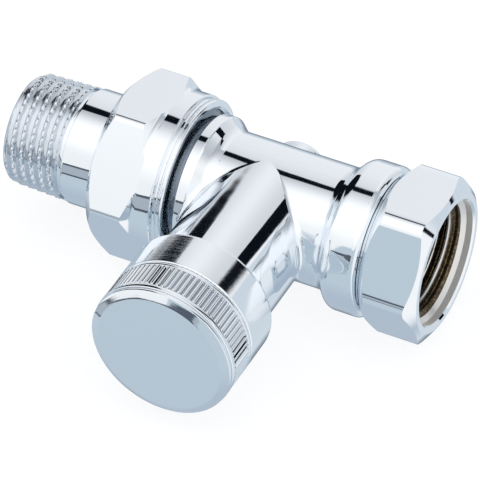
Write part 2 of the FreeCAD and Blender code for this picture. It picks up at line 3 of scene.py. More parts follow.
import bpy
import numpy as np
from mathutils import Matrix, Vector


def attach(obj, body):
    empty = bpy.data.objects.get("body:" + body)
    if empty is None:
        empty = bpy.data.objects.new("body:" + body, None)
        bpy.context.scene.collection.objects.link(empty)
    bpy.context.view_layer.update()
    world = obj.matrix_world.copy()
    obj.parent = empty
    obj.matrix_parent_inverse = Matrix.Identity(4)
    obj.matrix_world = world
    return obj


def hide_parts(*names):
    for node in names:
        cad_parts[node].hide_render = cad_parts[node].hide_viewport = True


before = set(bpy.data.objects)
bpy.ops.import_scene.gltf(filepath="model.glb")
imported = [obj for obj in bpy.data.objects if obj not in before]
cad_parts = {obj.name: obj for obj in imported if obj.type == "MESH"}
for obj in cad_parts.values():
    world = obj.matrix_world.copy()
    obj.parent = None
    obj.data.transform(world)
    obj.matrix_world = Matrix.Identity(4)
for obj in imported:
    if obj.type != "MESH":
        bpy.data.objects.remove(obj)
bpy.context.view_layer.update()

# Valve body: hot-forged brass, turned at its ends, polished and chrome plated.
# It keeps the solid's shape, but its two plain outside thread walls give way to cut threads:
# the union thread on the left end and the cap thread at the front of the branch.
MM = 0.001
BRANCH_X = -31.33
PIPE_PITCH = 1.814
UNION_THREAD = {"low": -52.53, "high": -46.33, "radius": 13.22, "pitch": PIPE_PITCH, "depth": 1.16}
CAP_THREAD = {"low": 34.6, "high": 38.9, "radius": 11.0, "pitch": 1.5, "depth": 0.92}
UNION_END = -44.2
SOCKET_BACK = -17.0
MOUTH = {"low": 0.02, "high": 1.95, "radius": 11.4}
BRANCH_BORE = {"low": 15.0, "radius": 9.3}
TURNED_COLLAR = {"low": 26.0, "high": 33.7, "radius": 11.8}
NEAR = 0.02
WELD = 2e-7
CHROME = (0.84, 0.872, 0.905, 1.0)
POLISH = {"size": 9 * MM, "depth": 0.03 * MM, "strength": 0.4}
GLOSS = {"scale": 900.0, "least": 0.02, "spread": 0.03}
TURNING = {"scale": 4200.0, "depth": 0.013 * MM, "strength": 0.22, "dullness": 0.03}
MOUTH_WALL = {"tint": (0.8, 0.79, 0.77, 1.0), "dullness": 0.25, "chalk": 0.5}
BARE_BRASS = {"tint": (0.42, 0.31, 0.19, 1.0), "dullness": 0.3}
# Painted shade: the union end inside the nut is tinted dark blue-grey and made a little duller.
UNION_END_SHADE = {"tint": (0.22, 0.25, 0.29, 1.0), "dullness": 0.1}


class Shade:
    """A socket of a material. Operators on it add Math nodes, so that a mask reads as a formula."""

    def __init__(self, tree, socket=None):
        self.tree = tree
        self.socket = socket

    def node(self, kind, settings=None, values=None, out=0):
        """Any other node: settings are set first, then values or links go to its sockets."""
        made = self.tree.nodes.new(kind)
        for name, value in (settings or {}).items():
            setattr(made, name, value)
        for name, value in (values or {}).items():
            if isinstance(value, Shade):
                self.tree.links.new(value.socket, made.inputs[name])
            else:
                made.inputs[name].default_value = value
        return Shade(self.tree, made.outputs[out])

    def maths(self, operation, *values):
        return self.node("ShaderNodeMath", {"operation": operation}, dict(enumerate(values)))

    def __add__(self, other):
        return self.maths("ADD", self, other)

    __radd__ = __add__

    def __sub__(self, other):
        return self.maths("SUBTRACT", self, other)

    def __rsub__(self, other):
        return self.maths("SUBTRACT", other, self)

    def __mul__(self, other):
        return self.maths("MULTIPLY", self, other)

    __rmul__ = __mul__

    def __truediv__(self, other):
        return self.maths("DIVIDE", self, other)

    def __gt__(self, other):
        return self.maths("GREATER_THAN", self, other)

    def __lt__(self, other):
        return self.maths("LESS_THAN", self, other)

    def at_least(self, other):
        """The larger of this and the other."""
        return self.maths("MAXIMUM", self, other)

    def rise(self, low, high):
        """0 below low, 1 above high, and a smooth step between them."""
        return self.node("ShaderNodeMapRange", {"interpolation_type": "SMOOTHSTEP"},
                         {0: self, 1: low, 2: high, 3: 0.0, 4: 1.0})

    def between(self, start, end):
        """1 between two soft edges, each given as the low and the high of its rise."""
        return self.rise(*start) * (1 - self.rise(*end))

    def mixed(self, first, second):
        """The colour between first and second at this factor."""
        return self.node("ShaderNodeMix", {"data_type": "RGBA"}, {0: self, 6: first, 7: second}, out=2)

    def split(self):
        """The three parts of this vector."""
        parts = self.node("ShaderNodeSeparateXYZ", None, {0: self}).socket.node
        return [Shade(self.tree, part) for part in parts.outputs]


def finish(name, metallic=1.0):
    """A material with one Principled shader; returns it, its Shade, its shader and the object's place."""
    material = bpy.data.materials.new(name)
    material.use_nodes = True
    shader = material.node_tree.nodes["Principled BSDF"]
    shader.inputs["Metallic"].default_value = metallic
    shade = Shade(material.node_tree)
    return material, shade, shader, shade.node("ShaderNodeTexCoord", out="Object")


def feed(node, socket, value):
    """Links a Shade to a named socket."""
    value.tree.links.new(value.socket, node.inputs[socket])


def waves(place, size, depth, strength):
    """A Bump node of soft noise: hollows of the given size and depth in metres."""
    noise = place.node("ShaderNodeTexNoise", None, {"Vector": place, "Scale": 1.0 / size, "Detail": 2.0})
    return place.node("ShaderNodeBump", None, {"Strength": strength, "Distance": depth, "Height": noise})


def chrome(name, lathe=None, coats=None):
    """Chrome plate with the faint waves of a polished forging. lathe turns the x, y, z Shades into a mask
    for fine turning lines round the branch. coats turns them into masks for surfaces that the plating left
    satin or bare, or that carry painted shade, each with a coat: its tint, the dullness that it adds to the
    roughness and, where it is chalky, the part of the metal's shine that it takes off."""
    material, shade, shader, place = finish(name)
    shader.inputs["Base Color"].default_value = CHROME
    x, y, z = place.split()
    normal = waves(place, **POLISH)
    clouds = shade.node("ShaderNodeTexNoise", None, {"Vector": place, "Scale": GLOSS["scale"]})
    roughness = clouds * GLOSS["spread"] + GLOSS["least"]
    if lathe:
        band = lathe(x, y, z)
        lines = shade.node("ShaderNodeTexNoise", {"noise_dimensions": "1D"},
                           {"W": y * TURNING["scale"], "Detail": 4.0, "Roughness": 0.75, "Scale": 1.0})
        normal = shade.node("ShaderNodeBump", None,
                            {"Strength": band * TURNING["strength"], "Distance": TURNING["depth"],
                             "Height": lines, "Normal": normal})
        roughness = roughness + band * TURNING["dullness"]
    if coats:
        colour = CHROME
        for mask, coat in coats(x, y, z):
            colour = mask.mixed(colour, coat["tint"])
            roughness = roughness + mask * coat["dullness"]
            if "chalk" in coat:
                feed(shader, "Metallic", 1 - mask * coat["chalk"])
        feed(shader, "Base Color", colour)
    feed(shader, "Roughness", roughness)
    feed(shader, "Normal", normal)
    return material


def from_branch(x, z):
    """The square of the distance from the branch axis."""
    across = x - BRANCH_X * MM
    return across * across + z * z


def body_lathe(x, y, z):
    """The turned collar of the branch."""
    length = (y > -TURNED_COLLAR["high"] * MM) * (y < -TURNED_COLLAR["low"] * MM)
    return length * (from_branch(x, z) > (TURNED_COLLAR["radius"] * MM) ** 2)


def body_coats(x, y, z):
    """A chalky wall in the socket's mouth, bare brass in the two bores, and painted shade on the union end,
    in the recess under the nut.
    """
    socket = (x > SOCKET_BACK * MM) * (x < MOUTH["high"] * MM)
    socket = socket * ((y * y + z * z) < (MOUTH["radius"] * MM) ** 2)
    mouth = socket * (x > MOUTH["low"] * MM)
    socket_bore = socket * (x < MOUTH["low"] * MM)
    branch_bore = (from_branch(x, z) < (BRANCH_BORE["radius"] * MM) ** 2) * (y < -BRANCH_BORE["low"] * MM)
    # The union end carries painted shade.
    shaded_union_end = x < UNION_END * MM
    return [(mouth, MOUTH_WALL), (socket_bore.at_least(branch_bore), BARE_BRASS), (shaded_union_end, UNION_END_SHADE)]


def on_pipe(along, radius, angle):
    """Points round the pipe axis; the angle runs from the front over the top."""
    return np.stack([along, -radius * np.cos(angle), radius * np.sin(angle)], axis=-1) * MM


def on_branch(along, radius, angle):
    """Points round the branch axis; the height runs from the pipe axis towards the front."""
    return np.stack([BRANCH_X + radius * np.cos(angle), -along, radius * np.sin(angle)], axis=-1) * MM


def ridge(turns, foot=0.88, run=0.76):
    """A thread's section: 0 in the root, 1 on the crest, straight flanks and rounded ends. The flank ends
    at foot and is run long, both as parts of half a pitch from the crest's middle."""
    off_crest = np.abs(np.mod(turns, 1.0) * 2 - 1)
    height = np.clip((foot - off_crest) / run, 0, 1)
    return 0.5 * height + 0.5 * height * height * (3 - 2 * height)


def thread_wall(thread, hand, place, step=0.1, columns=168):
    """Grid of a right-hand outside thread. The radius is the crest less the depth times one minus the
    ridge at along / pitch plus the part of a turn. The depth fades to nothing over half a pitch at each
    end. hand is 1 or -1, for the way that the angle runs round the axis."""
    rows = int((thread["high"] - thread["low"]) / step)
    along = np.linspace(thread["low"], thread["high"], rows)[:, None]
    angle = np.linspace(0, 2 * np.pi, columns + 1)[None, :]
    from_end = np.minimum(along - thread["low"], thread["high"] - along)
    depth = thread["depth"] * np.clip(from_end / (0.5 * thread["pitch"]), 0, 1)
    part = ridge(along / thread["pitch"] + hand * angle / (2 * np.pi))
    return place(along + 0 * angle, thread["radius"] - depth * (1 - part), angle + 0 * along)


def grid_corners(grid, axis_points):
    """Two triangles a cell of a grid round an axis, with smooth normals: the cross product of the grid's
    two directions, turned away from the points of the axis beside the grid."""
    down = np.gradient(grid, axis=0)
    around = np.gradient(grid, axis=1)
    around[:, 0] = around[:, -1] = grid[:, 1] - grid[:, -2]
    normal = np.cross(down, around)
    normal /= np.linalg.norm(normal, axis=-1, keepdims=True)
    cells = [(0, 0), (1, 0), (1, 1), (0, 0), (1, 1), (0, 1)]
    if np.sum(normal * (grid - axis_points(grid))) < 0:
        normal = -normal
        cells = cells[::-1]
    height, width = grid.shape[0] - 1, grid.shape[1] - 1
    spots = np.stack([grid[i:i + height, j:j + width] for i, j in cells], axis=2)
    sides = np.stack([normal[i:i + height, j:j + width] for i, j in cells], axis=2)
    return spots.reshape(-1, 3, 3), sides.reshape(-1, 3, 3)


def solid_corners(mesh):
    """A CAD mesh as triangle corners and their normals."""
    mesh.calc_loop_triangles()
    loops = np.empty(len(mesh.loop_triangles) * 3, dtype=np.int64)
    mesh.loop_triangles.foreach_get("loops", loops)
    owner = np.empty(len(mesh.loops), dtype=np.int64)
    mesh.loops.foreach_get("vertex_index", owner)
    spots = np.empty(len(mesh.vertices) * 3)
    mesh.vertices.foreach_get("co", spots)
    sides = np.empty(len(mesh.loops) * 3)
    mesh.corner_normals.foreach_get("vector", sides)
    spots = spots.reshape(-1, 3)[owner[loops]]
    sides = sides.reshape(-1, 3)[loops]
    return spots.reshape(-1, 3, 3), sides.reshape(-1, 3, 3)


def corner_mesh(name, spots, sides):
    """Welds triangle corners into one mesh that keeps the corners' normals."""
    flat = spots.reshape(-1, 3)
    keys = np.round(flat / WELD).astype(np.int64)
    first, owner = np.unique(keys, axis=0, return_index=True, return_inverse=True)[1:]
    faces = owner.reshape(-1, 3)
    real = (faces[:, 0] != faces[:, 1]) & (faces[:, 1] != faces[:, 2]) & (faces[:, 2] != faces[:, 0])
    mesh = bpy.data.meshes.new(name)
    mesh.from_pydata(flat[first].tolist(), [], faces[real].tolist())
    mesh.shade_smooth()
    mesh.normals_split_custom_set(sides[real].reshape(-1, 3).tolist())
    return mesh


def new_piece(name, mesh, body, slot, material, *nodes):
    """Puts a mesh in the scene on its body, in place of the CAD nodes that it stands for."""
    mesh.materials.append(material)
    piece = bpy.data.objects.new(name, mesh)
    bpy.context.collection.objects.link(piece)
    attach(piece, body)
    if nodes:
        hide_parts(*nodes)


def pipe_middle(points):
    """The points of the pipe axis beside the given ones."""
    middle = np.zeros_like(points)
    middle[..., 0] = points[..., 0]
    return middle


def branch_middle(points):
    """The points of the branch axis beside the given ones."""
    middle = np.zeros_like(points)
    middle[..., 0] = BRANCH_X * MM
    middle[..., 1] = points[..., 1]
    return middle


def on_wall(thread, along, radius):
    """The triangles whose three corners lie on a thread's plain wall."""
    corners = (np.abs(radius - thread["radius"]) < NEAR) & (along > thread["low"] - NEAR)
    return (corners & (along < thread["high"] + NEAR)).all(axis=1)


spots, sides = solid_corners(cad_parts["valve_body"].data)
spots_x, spots_y, spots_z = np.moveaxis(spots / MM, -1, 0)
union_wall = on_wall(UNION_THREAD, spots_x, np.hypot(spots_y, spots_z))
cap_wall = on_wall(CAP_THREAD, -spots_y, np.hypot(spots_x - BRANCH_X, spots_z))
kept = ~(union_wall | cap_wall)
union_spots, union_sides = grid_corners(thread_wall(UNION_THREAD, 1, on_pipe), pipe_middle)
cap_spots, cap_sides = grid_corners(thread_wall(CAP_THREAD, -1, on_branch), branch_middle)
body_mesh = corner_mesh("body", np.concatenate([spots[kept], union_spots, cap_spots]),
                        np.concatenate([sides[kept], union_sides, cap_sides]))
chrome_body = chrome("chrome_body", body_lathe, body_coats)
new_piece("body", body_mesh, "valve", "chrome", chrome_body, "valve_body")

# Socket thread: the female pipe thread, cut after plating, so it is bare brass. Its roots carry painted
# shade, near black and mottled with dark brass, and its pale worn crests catch the light. It is a sleeve
# with its back on the socket's plain wall.
SOCKET_THREAD = {"low": -12.6, "high": -0.05, "radius": 10.46, "pitch": PIPE_PITCH, "depth": 1.14}
SLEEVE_WALL = 0.02
SLEEVE_FADE = 1.2
SLEEVE_STEP = 0.11
SLEEVE_COLUMNS = 180
SLEEVE_BACK_EVERY = 12
SHARP_EDGE = math.radians(48)
CREST_EDGE = (9.35, 9.75)
# Painted shade: near black in the thread's roots, mottled with dark bare brass.
SOCKET_ROOT_SHADE = (0.07, 0.055, 0.04, 1)
ROOT_BRASS = (0.24, 0.18, 0.1, 1)
WORN_CREST = (0.68, 0.68, 0.67, 1)
ROOT_ROUGHNESS = 0.34
CREST_SHINE = 0.16
CUTTER_MARKS = {"size": 0.6 * MM, "depth": 0.02 * MM, "strength": 0.5}


def closed_grid(name, grid, poles=False):
    """Mesh of a grid whose columns close on themselves. Its rows close too, or end in poles, where the
    first and the last row are one point each and the quads beside them are a fan of triangles. Faces point
    outwards, which the sign of the volume shows."""
    rows, columns = grid.shape[:2]
    index = np.arange(rows * columns).reshape(rows, columns)
    points = grid.reshape(-1, 3)
    if poles:
        index[0] = index[0, 0]
        index[-1] = index[-1, 0]
        upper, lower = index[:-1], index[1:]
    else:
        upper, lower = index, np.roll(index, -1, axis=0)
    ring = [upper, lower, np.roll(lower, -1, axis=1), np.roll(upper, -1, axis=1)]
    quads = np.stack(ring, axis=-1).reshape(-1, 4)
    a, b, c, d = (points[quads[:, k]] for k in range(4))
    volume = np.sum(a * np.cross(b, c)) + np.sum(a * np.cross(c, d))
    if volume < 0:
        quads = quads[:, ::-1]
    used, flat = np.unique(quads, return_inverse=True)
    quads = flat.reshape(-1, 4)
    first_fan = quads[:, 0] == quads[:, 3]
    last_fan = quads[:, 1] == quads[:, 2]
    faces = quads[~(first_fan | last_fan)].tolist()
    faces += quads[first_fan][:, [0, 1, 2]].tolist() + quads[last_fan][:, [0, 1, 3]].tolist()
    mesh = bpy.data.meshes.new(name)
    mesh.from_pydata(points[used].tolist(), [], faces)
    mesh.shade_smooth()
    mesh.set_sharp_from_angle(angle=SHARP_EDGE)
    return mesh


def socket_sleeve():
    """Inside wall with the ridge pointing at the axis: the radius is the wall's less the depth times
    the ridge. The back of the sleeve is plain."""
    along = np.arange(SOCKET_THREAD["low"], SOCKET_THREAD["high"], SLEEVE_STEP)
    turn = np.linspace(0, 2 * np.pi, SLEEVE_COLUMNS, endpoint=False)[None, :]
    x = along[:, None]
    from_end = np.minimum(x - SOCKET_THREAD["low"], SOCKET_THREAD["high"] - x)
    depth = SOCKET_THREAD["depth"] * np.clip(from_end / SLEEVE_FADE, 0, 1)
    part = ridge(x / SOCKET_THREAD["pitch"] + turn / (2 * np.pi))
    wall = SOCKET_THREAD["radius"] - SLEEVE_WALL - depth * part
    back_x = along[::-SLEEVE_BACK_EVERY][:, None]
    inner = on_pipe(x + 0 * turn, wall, turn + 0 * x)
    outer = on_pipe(back_x + 0 * turn, SOCKET_THREAD["radius"] + 0 * (back_x + turn), turn + 0 * back_x)
    return np.concatenate([inner, outer])


cut_thread, shade, shader, place = finish("cut_thread")
y, z = place.split()[1:]
off_axis = shade.maths("SQRT", y * y + z * z)
crest = 1 - off_axis.rise(CREST_EDGE[0] * MM, CREST_EDGE[1] * MM)
root_mottle = shade.node("ShaderNodeTexNoise", None, {"Vector": place, "Scale": 2600.0, "Detail": 2.0})
# The roots are painted dark by radius: painted shade mottled with bare brass by noise. The crests are pale.
feed(shader, "Base Color", crest.mixed(root_mottle.rise(0.4, 0.7).mixed(SOCKET_ROOT_SHADE, ROOT_BRASS), WORN_CREST))
feed(shader, "Roughness", ROOT_ROUGHNESS - crest * CREST_SHINE)
feed(shader, "Normal", waves(place, **CUTTER_MARKS))
new_piece("socket_thread", closed_grid("socket_thread", socket_sleeve()), "valve", "brass", cut_thread)

# Bonnet, spindle, disc and its screw: turned from brass bar, with tool marks round the branch axis
# and a light tarnish. The bonnet screws into the branch and carries the rest.
BRASS = (0.80, 0.62, 0.33, 1)
TARNISH = (0.62, 0.45, 0.22, 1)
BRASS_GLOSS = {"least": 0.16, "spread": 0.16}
TOOL_MARKS = {"scale": 6000.0, "depth": 0.03 * MM, "strength": 0.4}


def dress(material, slot, *names):
    """Puts a finish on CAD nodes."""
    for name in names:
        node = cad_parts[name]
        node.data.materials.clear()
        node.data.materials.append(material)


brass, shade, shader, place = finish("turned_brass")
y = place.split()[1]
tool_marks = shade.node("ShaderNodeTexNoise", {"noise_dimensions": "1D"},
                        {"W": y * TOOL_MARKS["scale"], "Detail": 3.0, "Scale": 1.0})
stain = shade.node("ShaderNodeTexNoise", None, {"Vector": place, "Scale": 420.0, "Detail": 3.0})
feed(shader, "Base Color", stain.rise(0.35, 0.75).mixed(BRASS, TARNISH))
feed(shader, "Roughness", BRASS_GLOSS["least"] + stain * BRASS_GLOSS["spread"])
feed(shader, "Normal", shade.node("ShaderNodeBump", None,
                                  {"Strength": TOOL_MARKS["strength"], "Distance": TOOL_MARKS["depth"],
                                   "Height": tool_marks}))
dress(brass, "brass", "bonnet", "spindle", "valve_disc", "washer_screw")

# Rings, gaskets and seat washer: moulded black rubber with a dusty bloom.
# The rings are pressed into their grooves, and the gaskets and the washer are held flat.
RUBBER = (0.014, 0.014, 0.015, 1)
BLOOM = (0.05, 0.05, 0.052, 1)
RUBBER_GLOSS = {"least": 0.42, "spread": 0.2}
MOULD_GRAIN = {"size": 0.3 * MM, "depth": 0.01 * MM, "strength": 0.6}
rubber, shade, shader, place = finish("black_rubber", metallic=0.0)
bloom = shade.node("ShaderNodeTexNoise", None, {"Vector": place, "Scale": 700.0, "Detail": 4.0})
feed(shader, "Base Color", bloom.rise(0.4, 0.8).mixed(RUBBER, BLOOM))
feed(shader, "Roughness", RUBBER_GLOSS["least"] + bloom * RUBBER_GLOSS["spread"])
feed(shader, "Normal", waves(place, **MOULD_GRAIN))
dress(rubber, "rubber", "union_o_ring", "spindle_o_ring_inner", "spindle_o_ring_outer", "disc_washer",
      "cap_gasket", "bonnet_gasket")

# Swivel clip: a split ring bent from drawn steel wire.
# It springs into a groove and joins the disc to the spindle, so that the disc can turn.
DRAWN_DARK = (0.5, 0.5, 0.52, 1)
DRAWN_BRIGHT = (0.68, 0.68, 0.7, 1)
STEEL_GLOSS = {"least": 0.2, "spread": 0.25}
steel, shade, shader, place = finish("drawn_steel")
streaks = shade.node("ShaderNodeTexNoise", None, {"Vector": place, "Scale": 1500.0, "Detail": 2.0})
feed(shader, "Roughness", STEEL_GLOSS["least"] + streaks * STEEL_GLOSS["spread"])
feed(shader, "Base Color", streaks.mixed(DRAWN_DARK, DRAWN_BRIGHT))
dress(steel, "steel", "swivel_clip")

# Union nut: machined from hexagon brass bar and chrome plated.
# It screws on the union thread, and its shoulder pulls the tail's collar against the body.
dress(chrome("chrome_nut"), "chrome", "union_nut")

# Tailpiece: turned brass tube, chrome plated. Its taper pipe thread is notched along its crests so that
# the sealing hemp doesn't slip, and a groove ends the thread before the neck.
TAIL_END = -79.18
TAIL_THREAD_END = -68.28
NECK_END = -67.18
TAIL_COLLAR = (-56.88, -54.03)
RING_GROOVE = (-52.058, -50.602)
SPIGOT_END = -49.33
TAIL_BORE_R = 7.4
TAIL_INSIDE_R = 8.0
CREST_R = 10.48
RUN_OUT_R = 9.58
NECK_R = 10.6
TAIL_COLLAR_R = 12.87
SPIGOT_R = 9.3
RING_GROOVE_R = 8.33
LEAD_IN = 1.2
SPIGOT_LEAD_IN = 0.5
TAIL = [
    (TAIL_END, TAIL_BORE_R, 0.3), (TAIL_END, CREST_R - LEAD_IN, 0.25), (TAIL_END + LEAD_IN, CREST_R, 0.1),
    (TAIL_THREAD_END, CREST_R, 0.1), (TAIL_THREAD_END, RUN_OUT_R, 0.3), (NECK_END, RUN_OUT_R, 0.3),
    (NECK_END, NECK_R, 0.25), (TAIL_COLLAR[0], NECK_R, 0.1), (TAIL_COLLAR[0], TAIL_COLLAR_R, 0.3),
    (TAIL_COLLAR[1], TAIL_COLLAR_R, 0.3), (TAIL_COLLAR[1], SPIGOT_R, 0.1), (RING_GROOVE[0], SPIGOT_R, 0.06),
    (RING_GROOVE[0], RING_GROOVE_R, 0.06), (RING_GROOVE[1], RING_GROOVE_R, 0.06),
    (RING_GROOVE[1], SPIGOT_R, 0.06), (SPIGOT_END - SPIGOT_LEAD_IN, SPIGOT_R, 0.06),
    (SPIGOT_END, SPIGOT_R - SPIGOT_LEAD_IN, 0.06), (SPIGOT_END, TAIL_BORE_R, 0.2),
]
ARC_POINTS = 4
TAIL_STEP = 0.14
TAIL_THINNED = 3
TAPER = 1 / 32
TAIL_FOOT = 0.62
TAIL_FLANK = 0.5
TAIL_THREAD_DEPTH = 0.72
TAIL_THREAD_FADE = 0.5
NOTCHES = 39
NOTCH_COLUMNS = 7
NOTCH_DEPTH = 0.24
NOTCH_SHARPNESS = 1.7
NOTCH_FOOT = 0.35
NOTCH_RISE = 0.5
ROOT_EDGE = (9.6, 10.2)
UNPLATED_R = 7.6
# Painted shade: the thread is tinted a darker blue-grey, partly as duller plating and partly as shade, and
# its roots are tinted more.
SATIN_AND_SHADE = (0.56, 0.6, 0.65, 1.0)
THREAD_SHARE = 0.45
ROOT_SHADE_SHARE = 0.4
THREAD_SATIN_SHADE = {"tint": SATIN_AND_SHADE, "dullness": 0.03}
TAIL_ROOT_SHADE = {"tint": SATIN_AND_SHADE, "dullness": 0.3}
TAIL_BORE = {"tint": BARE_BRASS["tint"], "dullness": 0.2}


def outline(corners, step):
    """Closed line through corners (along, radius, rounding): an arc at each corner, and points at most
    step apart."""
    bends = []
    for k, here in enumerate(corners):
        middle = np.array(here[:2])
        arms = np.array([corners[k - 1][:2], corners[(k + 1) % len(corners)][:2]]) - middle
        arms /= np.linalg.norm(arms, axis=1)[:, None]
        half = math.acos(np.clip(arms[0] @ arms[1], -1, 1)) / 2
        between = (arms[0] + arms[1]) / np.linalg.norm(arms[0] + arms[1])
        centre = middle + between * here[2] / math.sin(half)
        first, last = middle + arms * here[2] / math.tan(half) - centre
        sweep = math.pi - 2 * half
        part = np.linspace(0, 1, ARC_POINTS)[:, None]
        arc = np.sin((1 - part) * sweep) * first + np.sin(part * sweep) * last
        bends.append(centre + arc / math.sin(sweep))
    bends = np.concatenate(bends)
    ahead = np.roll(bends, -1, axis=0)
    pieces = np.maximum(1, np.ceil(np.linalg.norm(ahead - bends, axis=1) / step)).astype(int)
    return np.concatenate([here + (there - here) * np.arange(count)[:, None] / count
                           for here, there, count in zip(bends, ahead, pieces)])


def tail_grid():
    """The tail's outline turned round the pipe axis, with fewer points on its plain cylinders. In the
    thread's length the radius is the tapered crest less the depth times one minus the ridge, less a notch,
    and never above the outline. A notch is the top of a cosine of the turn, on the upper part of a ridge."""
    line = outline(TAIL, TAIL_STEP)
    plain = (line[:, 0] > TAIL_THREAD_END) | (line[:, 1] < TAIL_INSIDE_R)
    spare = plain & (np.gradient(line[:, 1]) == 0) & (np.arange(len(line)) % TAIL_THINNED != 0)
    line = line[~spare]
    x = line[:, :1]
    radius = line[:, 1:]
    turn = np.linspace(0, 2 * np.pi, NOTCHES * NOTCH_COLUMNS, endpoint=False)[None, :]
    from_end = TAIL_THREAD_END - x
    crest = CREST_R - np.clip(from_end, 0, None) * TAPER
    part = ridge(x / PIPE_PITCH + turn / (2 * np.pi), TAIL_FOOT, TAIL_FLANK)
    depth = TAIL_THREAD_DEPTH * np.clip(from_end / TAIL_THREAD_FADE, 0, 1)
    notch = np.clip(1 - NOTCH_SHARPNESS * (1 - np.cos(turn * NOTCHES)), 0, 1)
    notch = notch * np.clip((part - NOTCH_FOOT) / NOTCH_RISE, 0, 1)
    cut = crest - depth * (1 - part) - NOTCH_DEPTH * notch
    threaded = (x < TAIL_THREAD_END) & (radius > TAIL_INSIDE_R)
    radius = np.where(threaded, np.minimum(radius, cut), radius)
    return on_pipe(x + 0 * turn, radius + 0 * turn, turn + 0 * x)


def tail_coats(x, y, z):
    """A satin thread, darkened partly by painted shade, with more painted shade and dullness in its roots,
    and a bore that the plating left bare.
    """
    off_axis = x.maths("SQRT", y * y + z * z)
    thread = x < TAIL_THREAD_END * MM
    # The thread's roots carry painted shade.
    shaded_root = (1 - off_axis.rise(ROOT_EDGE[0] * MM, ROOT_EDGE[1] * MM)) * thread
    bore = off_axis < UNPLATED_R * MM
    return [(thread * THREAD_SHARE, THREAD_SATIN_SHADE), (shaded_root * ROOT_SHADE_SHARE, TAIL_ROOT_SHADE), (bore, TAIL_BORE)]


tail_mesh = closed_grid("tail", tail_grid())
new_piece("tail", tail_mesh, "tail", "chrome", chrome("chrome_tail", None, tail_coats), "tailpiece")

# Cap: turned from bar, with a straight knurl between two plain rims, a fine groove, and a bevel with
# turning lines round its flat face. It screws on the branch over its gasket.
CAP_FACE = 42.2
BEVEL_FOOT = 41.43
CAP_GROOVE = (40.65, 40.9)
KNURL = (34.6, 39.7)
CAP_MOUTH = 33.9
CAP_FLOOR = 40.45
FACE_R = 11.55
RIM_R = 12.95
CORE_R = 12.7
CAP_R = 13.1
CAP_BORE_R = 11.06
CAP_INSIDE_R = 12.0
CAP_LEAD_IN = 0.4
ON_AXIS = 0.001
CAP = [
    (CAP_FACE, 0.0, ON_AXIS), (CAP_FACE, FACE_R, 0.1), (BEVEL_FOOT, RIM_R, 0.1),
    (CAP_GROOVE[1], RIM_R, 0.1), (CAP_GROOVE[1], CORE_R, 0.05), (CAP_GROOVE[0], CORE_R, 0.05),
    (CAP_GROOVE[0], CAP_R, 0.2),
    (KNURL[1], CAP_R, 0.12), (KNURL[1], CORE_R, 0.05), (KNURL[0], CORE_R, 0.05), (KNURL[0], CAP_R, 0.12),
    (CAP_MOUTH, CAP_R, 0.2), (CAP_MOUTH, CAP_BORE_R + CAP_LEAD_IN, 0.05),
    (CAP_MOUTH + CAP_LEAD_IN, CAP_BORE_R, 0.05), (CAP_FLOOR, CAP_BORE_R, 0.1), (CAP_FLOOR, 0.0, ON_AXIS),
]
CAP_STEP = 0.45
RIDGES = 82
RIDGE_COLUMNS = 8
RIDGE_FLANK = 2.4
RIDGE_TOP = 0.35
RIDGE_HEIGHT = 0.42
RIDGE_SINK = 0.06
BEVEL_LINES = (41.4, 42.15)
KNURL_EDGE = (12.64, 12.95)
# Painted shade: the roots between the knurl's ridges are tinted dark blue-grey and made duller.
KNURL_ROOT_SHADE = {"tint": (0.4, 0.44, 0.49, 1.0), "dullness": 0.1}


def cap_grid():
    """The cap's outline turned round the branch axis, from the middle of its face to the middle of its
    floor. In the knurl's length the core is raised by a rounded square wave of the turn, so the ridges have
    flat tops and soft flanks."""
    line = outline(CAP, CAP_STEP)
    first = np.argmin(np.abs(line[:, 1]) + np.abs(line[:, 0] - CAP_FACE))
    line = np.roll(line, -first, axis=0)
    last = np.argmin(np.abs(line[:, 1]) + np.abs(line[:, 0] - CAP_FLOOR))
    line = line[:last + 1]
    line[[0, -1], 1] = 0
    h = line[:, :1]
    radius = line[:, 1:]
    turn = np.linspace(0, 2 * np.pi, RIDGES * RIDGE_COLUMNS, endpoint=False)[None, :]
    top = 0.5 + 0.5 * np.tanh(RIDGE_FLANK * (np.cos(turn * RIDGES) + RIDGE_TOP))
    rows = (h > KNURL[0] + NEAR) & (h < KNURL[1] - NEAR) & (radius > CAP_INSIDE_R)
    radius = radius + np.where(rows, RIDGE_HEIGHT * top - RIDGE_SINK, 0.0)
    return on_branch(h + 0 * turn, radius, turn + 0 * h)


def cap_lathe(x, y, z):
    """The bevel round the face."""
    return (y > -BEVEL_LINES[1] * MM) * (y < -BEVEL_LINES[0] * MM)


def cap_coats(x, y, z):
    """Painted shade in the roots between the knurl's ridges."""
    off_axis = x.maths("SQRT", from_branch(x, z))
    shaded_root = (1 - off_axis.rise(KNURL_EDGE[0] * MM, KNURL_EDGE[1] * MM)) * (off_axis > CAP_INSIDE_R * MM)
    # The knurl's roots carry painted shade.
    return [(shaded_root * (y > -KNURL[1] * MM) * (y < -KNURL[0] * MM), KNURL_ROOT_SHADE)]


cap_mesh = closed_grid("screw_cap", cap_grid(), poles=True)
new_piece("screw_cap", cap_mesh, "cap", "chrome", chrome("chrome_cap", cap_lathe, cap_coats), "cap")

